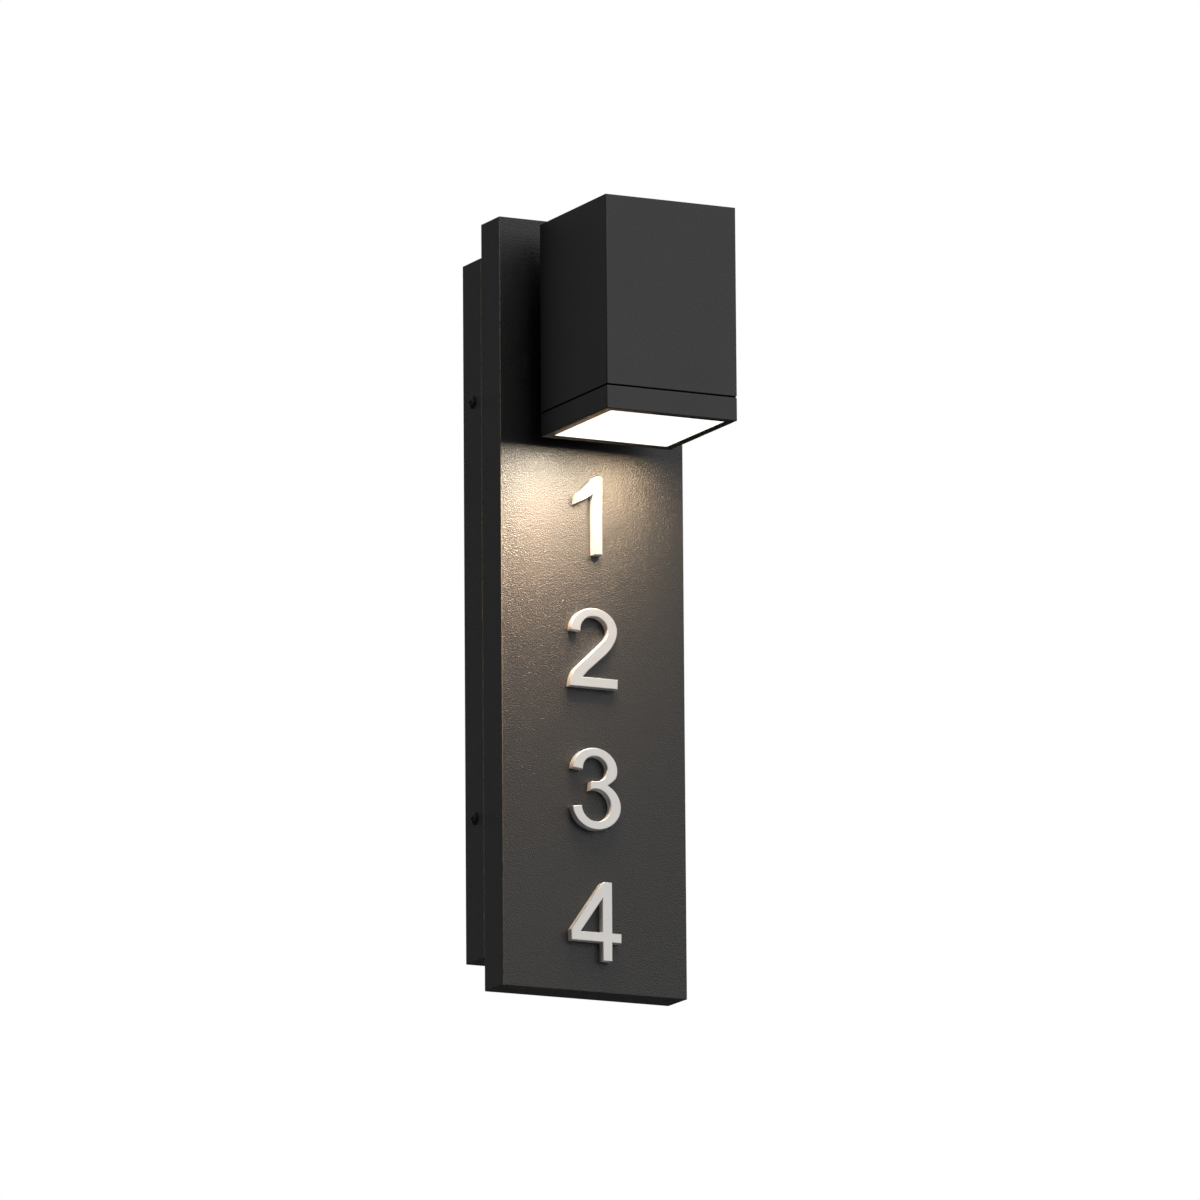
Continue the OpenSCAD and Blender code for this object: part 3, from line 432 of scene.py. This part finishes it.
# The lens bead: a thin line of black silicone, run round the wall of the bezel's opening below the lens and
# tooled round. It seals the lens, and its dull black is also painted shade: it stands in for the shade on
# that wall, which the lens would otherwise whiten.
bead_silicone_and_shade = finish("black_silicone_bead_and_painted_shade", "#050505", "#020202", 0.9, patch=5, grain=0.4, relief=0.03,
                        shine=0.02)
rim = 5 * MM
bead_w = 0.32 * MM
bead_h = 0.5 * MM
bead_lift = 0.04 * MM
bead_back = 0.01 * MM
bead_corner = 0.5 * MM
bead_shoulder = 0.55
wall = Vector((rim, rim, 0))
arc = np.radians(np.linspace(-90, 90, 7))
bulge = bead_shoulder + (1 - bead_shoulder) * np.cos(arc)
depth = np.concatenate([[bead_back], bead_w * bulge, [bead_back]])
z = low.z + bead_lift + bead_h / 2 * (1 + np.concatenate([[-1], np.sin(arc), [1]]))
bead = mesh_piece("lens_bead", *square_cord(low + wall, high - wall, bead_corner, depth, z), bead_silicone_and_shade,
                  smooth=50)
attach(bead, "root")

# The foam seal behind the canopy, the neck's two gaskets and the wire bush are black EPDM rubber, cut or
# moulded: dead matt, with open cells half a millimetre wide on the cut foam.
foam = finish("black_epdm_foam", "#1a1a1b", "#0b0b0b", 0.9, patch=4, grain=0.5, relief=0.12, shine=0.15)
for node in ("canopy_gasket", "neck_gaskets", "wire_grommet"):
    dress(node, foam)

# Plain machine screws and nuts hold the parts together out of sight: cold-headed steel in bright zinc, a
# pale bluish silver with the faint rings of the header's die.
bright_zinc = finish("bright_zinc_plate", "#c3c7ca", "#9ba0a6", 0.3, 1.0, patch=2.5, grain=0.25,
                     relief=0.006)
for node in ("canopy_screws", "terminal_screws", "cover_screws", "digit_nuts", "driver_screws", "neck_screws",
             "heat_sink_screws", "engine_screws"):
    dress(node, bright_zinc)

# The terminal block and the driver's case are moulded in white nylon and white flame-proof ABS: satin, with
# the fine spark texture of the mould.
white_nylon = finish("white_moulded_nylon", "#e4e3de", "#d8d7d0", 0.5, patch=9, grain=0.35, relief=0.02)
white_abs = finish("white_moulded_abs", "#e7e7e4", "#dcdcd8", 0.42, patch=20, grain=0.5, relief=0.025)
eased("terminal_block", white_nylon, 0.2 * MM)
eased("led_driver", white_abs, 0.3 * MM)


# The supply leads are a black and a white wire, and the LED leads a red and a black one: stranded copper in
# extruded PVC, smooth and softly glossy, with faint draw lines along the run.
def pair_of_wires(name, node, left, right):
    """PVC insulation in two colours for a node of two wires side by side, which part at its box's middle."""
    material = finish(name, left, left, 0.4, patch=15, grain=0.4, relief=0.008, stretch=(1, 1, 0.1))
    tree = material.node_tree
    shader = tree.nodes["Principled BSDF"]
    tone = shader.inputs["Base Color"].links[0].from_socket
    low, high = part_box(node)
    across = add(tree, "SeparateXYZ", {0: in_millimetres(tree)}).outputs["X"]
    side = add(tree, "Math", {0: across, 1: (low.x + high.x) / 2 / MM}, operation="GREATER_THAN").outputs[0]
    both = add(tree, "Mix", {0: side, 6: tone, 7: linear(right)}, data_type="RGBA").outputs[2]
    tree.links.new(both, shader.inputs["Base Color"])
    dress(node, material)


pair_of_wires("black_and_white_pvc", "supply_leads", "#1a1a1b", "#dfddd6")
pair_of_wires("red_and_black_pvc", "led_leads", "#a5211b", "#1a1a1b")

# The panel's back cover is mill-finish aluminium sheet with rolling lines up its length. The heat sink is an
# aluminium extrusion, with coarser die lines along its fins.
mill_sheet = finish("mill_finish_aluminium", "#c6c8ca", "#b2b5b8", 0.36, 1.0, patch=30, grain=0.5,
                    relief=0.006, stretch=(1, 1, 0.03))
extrusion = finish("extruded_aluminium", "#bfc1c3", "#a6a9ac", 0.42, 1.0, patch=12, grain=0.6, relief=0.015,
                   stretch=(1, 0.03, 1))
eased("panel_back_cover", mill_sheet, 0.15 * MM)
eased("heat_sink", extrusion, 0.15 * MM)

# The numerals 1 to 4: solid zinc castings, nickel plated and blasted to a satin, with studs through the
# panel. Each is its outline carried up from the panel by a short profile that ends in a round edge. The
# outlines and the studs' places are on a grid 47 units high, near enough millimetres.
numeral_grid = 47
numeral_t = 4.8
edge_round = 0.4
stud_r = 1.48
stud_foot = 1
thread_pitch = 0.5
thread_d = 0.16
studs = {"digit_1": [(1.4, 8), (1.4, 39)], "digit_2": [(-4, 2.9), (-1.6, 44.8)],
         "digit_3": [(-0.8, 2), (-1.6, 45)], "digit_4": [(5.8, 5.5), (5.8, 41)]}


def bow(p, c, q, n=16):
    """Points from p to q on a quadratic curve drawn towards the corner c."""
    t = np.linspace(0, 1, n + 1)[:, None]
    return (1 - t) ** 2 * np.array(p) + 2 * t * (1 - t) * np.array(c) + t ** 2 * np.array(q)


def oval(cx, cz, rx, rz, a, b):
    """Points round an oval from angle a to angle b in degrees, one every 3 degrees."""
    t = np.radians(np.linspace(a, b, int(abs(b - a) / 3) + 2))
    return np.column_stack([cx + rx * np.cos(t), cz + rz * np.sin(t)])


outlines = {
    "digit_1": [
        [(4.2, 0), (4.2, 47)], bow((0.8, 47), (-0.9, 46.8), (-2.2, 45.2)),
        bow((-2.2, 45.2), (-8.2, 37.6), (-13.2, 35.2)), bow((-13.2, 29.8), (-6.8, 32.4), (-1.5, 36.5)),
        [(-1.5, 0)]],
    "digit_2": [
        [(-17.7, 0), (13.5, 0), (13.5, 5.8)], bow((-9.2, 5.8), (-6.5, 9.2), (-3, 12.1)),
        bow((5, 19.2), (13.25, 27), (13.25, 34.6)), oval(-1.65, 34.6, 14.9, 12.65, 8, 185),
        oval(-1.6, 34, 8.95, 8.4, 187, 4), bow((7.35, 34), (7.35, 30.2), (2, 25.8)),
        bow((-13, 11.5), (-17.2, 7.4), (-17.7, 0))],
    "digit_3": [
        oval(-1.6, 34.9, 14.3, 12.6, 179, -20), bow((11.8, 30.6), (10.3, 28.3), (6.6, 26)),
        oval(-0.7, 13.6, 15.5, 14, 58, -175), oval(-0.9, 13.9, 9.3, 9.5, -177, 115), [(-4.1, 27.8)],
        bow((0, 28.05), (5.6, 29), (6.4, 35)), oval(-1.5, 35, 7.9, 7.6, 8, 184)],
    "digit_4": [
        [(2.7, 0), (8.9, 0), (8.9, 11.2), (14.9, 11.2), (14.9, 16.8), (8.9, 16.8), (8.9, 47)],
        bow((4.2, 47), (2.9, 47), (1.5, 45.1)), [(-17.8, 17.7), (-17.8, 11.2), (2.7, 11.2)]],
}
counters = {"digit_4": [[(-11.7, 16.8), (2.7, 16.8), (2.7, 37.1)]]}


def closed_loop(parts, turn):
    """Joins parts of an outline, drops points that lie closer than 0.15 to the last, and turns the loop left
    for turn = 1 and right for turn = -1."""
    loop = np.vstack([np.array(part, float) for part in parts])
    keep = np.linalg.norm(loop - np.roll(loop, 1, axis=0), axis=1) > 0.15
    loop = loop[keep]
    x, z = loop.T
    area = np.sum(x * np.roll(z, -1) - z * np.roll(x, -1))
    return loop if area * turn > 0 else loop[::-1]


def inset(loop, by):
    """A loop moved to its left by a distance: each point goes along the mitre of the two edges it joins."""
    step = np.roll(loop, -1, axis=0) - loop
    left = np.column_stack([-step[:, 1], step[:, 0]]) / np.linalg.norm(step, axis=1)[:, None]
    before = np.roll(left, 1, axis=0)
    mitre = (left + before) / (1 + np.sum(left * before, axis=1))[:, None]
    return loop + by * mitre


def threaded_stud(x, z, foot, tip, around=18, per_turn=6):
    """A stud along Y, in mm: its radius dips by the thread's depth once a pitch, the dip winds round it, and
    the last pitch runs out to a thinner tip."""
    y = np.linspace(foot, tip, int(abs(tip - foot) / thread_pitch * per_turn) + 1)[:, None]
    angle = np.linspace(0, 2 * math.pi, around, endpoint=False)
    dip = 0.5 + 0.5 * np.cos(2 * math.pi * (y - foot) / thread_pitch - angle)
    ease = np.clip((tip - y) / thread_pitch, 0, 1)
    r = stud_r - thread_d * (dip * ease + 1.5 * (1 - ease))
    grid = np.stack([x + r * np.cos(angle), y + 0 * angle, z + r * np.sin(angle)], -1)
    n = len(y)
    i, k = np.meshgrid(np.arange(n - 1), np.arange(around), indexing="ij")
    nk = (k + 1) % around
    quads = np.stack([i * around + k, (i + 1) * around + k, (i + 1) * around + nk, i * around + nk], -1)
    caps = [list(range(around)), list(range((n - 1) * around, n * around))[::-1]]
    return grid.reshape(-1, 3) * MM, quads.reshape(-1, 4).tolist() + caps


# Nickel over a fine blast gives the faces an even satin sheen. The sides are rougher and less metallic than
# the
# faces, and carry painted shade: a cooler tone than the faces, and a darker one where they face up, which
# holds back the warm lamp's light on them.
blast_grain = 0.4
tint_width = 9
nickel_and_painted_side_shade, tree, out = finish_named("satin_nickel_with_painted_side_shade")
in_mm = in_millimetres(tree)
blast = add(tree, "TexNoise", {"Vector": in_mm, "Scale": 1 / blast_grain, "Detail": 2}).outputs["Fac"]
satin = add(tree, "Bump", {"Height": blast, "Distance": 0.004 * MM}).outputs[0]
cloud = add(tree, "TexNoise", {"Vector": in_mm, "Scale": 1 / tint_width, "Detail": 3}).outputs["Fac"]
tint = add(tree, "Mix", {0: cloud, 6: linear("#d2d0cd"), 7: linear("#d6d4d1")}, data_type="RGBA").outputs[2]
facing = add(tree, "SeparateXYZ", {0: add(tree, "NewGeometry").outputs["Normal"]}).outputs
flank = add(tree, "MapRange", {"Value": facing["Y"], "From Min": -0.97, "From Max": -0.5},
            interpolation_type="SMOOTHSTEP").outputs[0]
# Painted shade on the sides: a cooler tone all over them, and darker where they face up.
painted_shade_facing_up = add(tree, "MapRange", {"Value": facing["Z"], "From Max": 0.5},
             interpolation_type="SMOOTHSTEP").outputs[0]
painted_cool_tone_on_sides = add(tree, "Mix", {0: flank, 6: tint, 7: linear("#dcdfe1")}, data_type="RGBA").outputs[2]
shade = add(tree, "Mix", {0: painted_shade_facing_up, 6: painted_cool_tone_on_sides, 7: linear("#b4bfc9")}, data_type="RGBA").outputs[2]
rough = add(tree, "MapRange", {"Value": flank, "To Min": 0.31, "To Max": 0.6}).outputs[0]
bare = add(tree, "MapRange", {"Value": flank, "To Min": 1.0, "To Max": 0.4}).outputs[0]
metal = add(tree, "BsdfPrincipled", {"Base Color": shade, "Metallic": bare, "Roughness": rough,
                                     "Normal": satin})
tree.links.new(metal.outputs[0], out.inputs["Surface"])

panel_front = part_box("face_panel")[0].y
turns = np.radians(np.linspace(0, 90, 5))
insets = np.concatenate([[0], edge_round * (1 - np.cos(turns))])
depths = np.concatenate([[0], numeral_t - edge_round * (1 - np.sin(turns))])
for node, parts in outlines.items():
    low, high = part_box(node)
    size = (high.z - low.z) / numeral_grid
    loops = [closed_loop(parts, 1)] + [closed_loop([part], -1) for part in counters.get(node, [])]
    points, faces, ends = [], [], [[], []]
    for loop in loops:
        start, n = len(points), len(loop)
        rings = []
        for by, depth in zip(insets, depths):
            x, z = inset(loop, by).T
            rings.append(np.column_stack([x * size, np.full(n, panel_front - depth * MM), low.z + z * size]))
        points.extend(np.vstack(rings))
        i, k = np.arange(n), np.arange(len(rings) - 1)[:, None] * n
        j = (i + 1) % n
        quads = start + np.stack([k + i, k + j, k + n + j, k + n + i], -1)
        faces.extend(quads.reshape(-1, 4).tolist())
        ends[0].append(start + i)
        ends[1].append(start + n * (len(rings) - 1) + i)
    for side, rings in zip((1, -1), ends):
        index = np.concatenate(rings)
        flat = [[Vector((points[v][0], points[v][2], 0)) for v in ring] for ring in rings]
        for tri in tessellate_polygon(flat):
            a, b, c = (np.array(points[index[v]]) for v in tri)
            outward = np.cross(b - a, c - a)[1] * side > 0
            faces.append([int(index[v]) for v in (tri if outward else tri[::-1])])
    for x, z in studs[node]:
        verts, quads = threaded_stud(x * size / MM, low.z / MM + z * size / MM,
                                     panel_front / MM - stud_foot, high.y / MM)
        faces.extend([v + len(points) for v in quad] for quad in quads)
        points.extend(verts)
    piece = mesh_piece(node + "_numeral", points, faces, nickel_and_painted_side_shade)
    curved = [abs(face.normal.y) < 0.999 for face in piece.data.polygons]
    piece.data.polygons.foreach_set("use_smooth", curved)
    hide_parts(node)
    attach(piece, "root")

# The light engine: an aluminium-core board under glossy white solder mask, LEDs under yellow phosphor set in
# silicone, a satin white moulded liner, and a cast silicone gasket in a dull grey.
solder_mask = finish("white_solder_mask", "#eceae4", "#dedcd5", 0.35, patch=6, grain=0.3, relief=0.01)
phosphor = finish("yellow_led_phosphor", "#eccb4e", "#d9b02e", 0.3, patch=0.8, grain=0.15, relief=0.01)
white_liner = finish("white_moulded_liner", "#efeeea", "#e2e1dc", 0.48, patch=18, grain=0.4, relief=0.02)
silicone = finish("grey_silicone_rubber", "#a5a5a3", "#949492", 0.55, patch=8, grain=0.6, relief=0.02)
for node, material in (("led_board", solder_mask), ("led_chips", phosphor), ("reflector", white_liner),
                       ("lens_gasket", silicone)):
    dress(node, material)

# The lens: a block of opal acrylic, cast and saw cut, lit from behind by warm white LEDs. It fills the bezel
# and glows evenly, warm in what it lights and close to white where it is looked at.
glow_given = 14.0
glow_seen = 1.05
warmth_width = 25
opal, tree, out = finish_named("opal_acrylic_lit")
in_mm = in_millimetres(tree)
cloud = add(tree, "TexNoise", {"Vector": in_mm, "Scale": 1 / warmth_width, "Detail": 1}).outputs["Fac"]
warm = add(tree, "Mix", {0: cloud, 6: linear("#fff9e3"), 7: linear("#fffae7")}, data_type="RGBA").outputs[2]
seen = add(tree, "LightPath").outputs["Is Camera Ray"]
glow = add(tree, "MapRange", {"Value": seen, "To Min": glow_given, "To Max": glow_seen}).outputs[0]
shown = add(tree, "Mix", {0: seen, 6: warm, 7: linear("#fffdf9")}, data_type="RGBA").outputs[2]
acrylic = add(tree, "BsdfPrincipled", {"Base Color": linear("#f6f3ee"), "Roughness": 0.35,
                                       "Emission Color": shown, "Emission Strength": glow})
tree.links.new(acrylic.outputs[0], out.inputs["Surface"])
eased("lens", opal)

# The LEDs' beams: soft warm lamps the size of half the lens, just under it, which make the pool of light on
# the panel. A narrow and a wide one shine from the left half and a wide one from the right half, each at its
# own height in mm below the bezel, because lamps in one plane would hide each other.
low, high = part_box("bezel")
half_lens = (26 * MM, 66 * MM)
for across, drop, spread, power, colour in (
        (-27, 0.2, 120, 0.41, (1, 0.59, 0.34)),
        (-27, 0.3, 180, 0.32, (1, 0.83, 0.63)),
        (27, 0.4, 180, 0.27, (1, 0.65, 0.35))):
    place = ((low.x + high.x) / 2 + across * MM, (low.y + high.y) / 2, low.z - drop * MM)
    area_lamp("beam_of_the_leds", place, (0, 0, -1), half_lens, power, colour, spread)

# The spill: thin amber lamps beside the lens, which light the underside of the bezel's rim where the glow of
# the lens creeps over it. One shines out to the left along the whole side, and one to the front.
spill_drop = 1.1 * MM
spill_t = 2 * MM
inboard = 5.5 * MM
amber = (1, 0.55, 0.22)
at_side = ((low.x + inboard, (low.y + high.y) / 2), (-1, 0, 0), 70 * MM, 0.00036)
at_front = ((low.x + 20 * MM, low.y + inboard), (0, -1, 0), 26 * MM, 0.00003)
for place, way, length, power in (at_side, at_front):
    area_lamp("spill_under_the_rim", (*place, low.z - spill_drop), way, (length, spill_t), power, amber)

size = {"cad": [list(corner) for corner in cad_box], "visual": [list(corner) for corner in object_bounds()]}
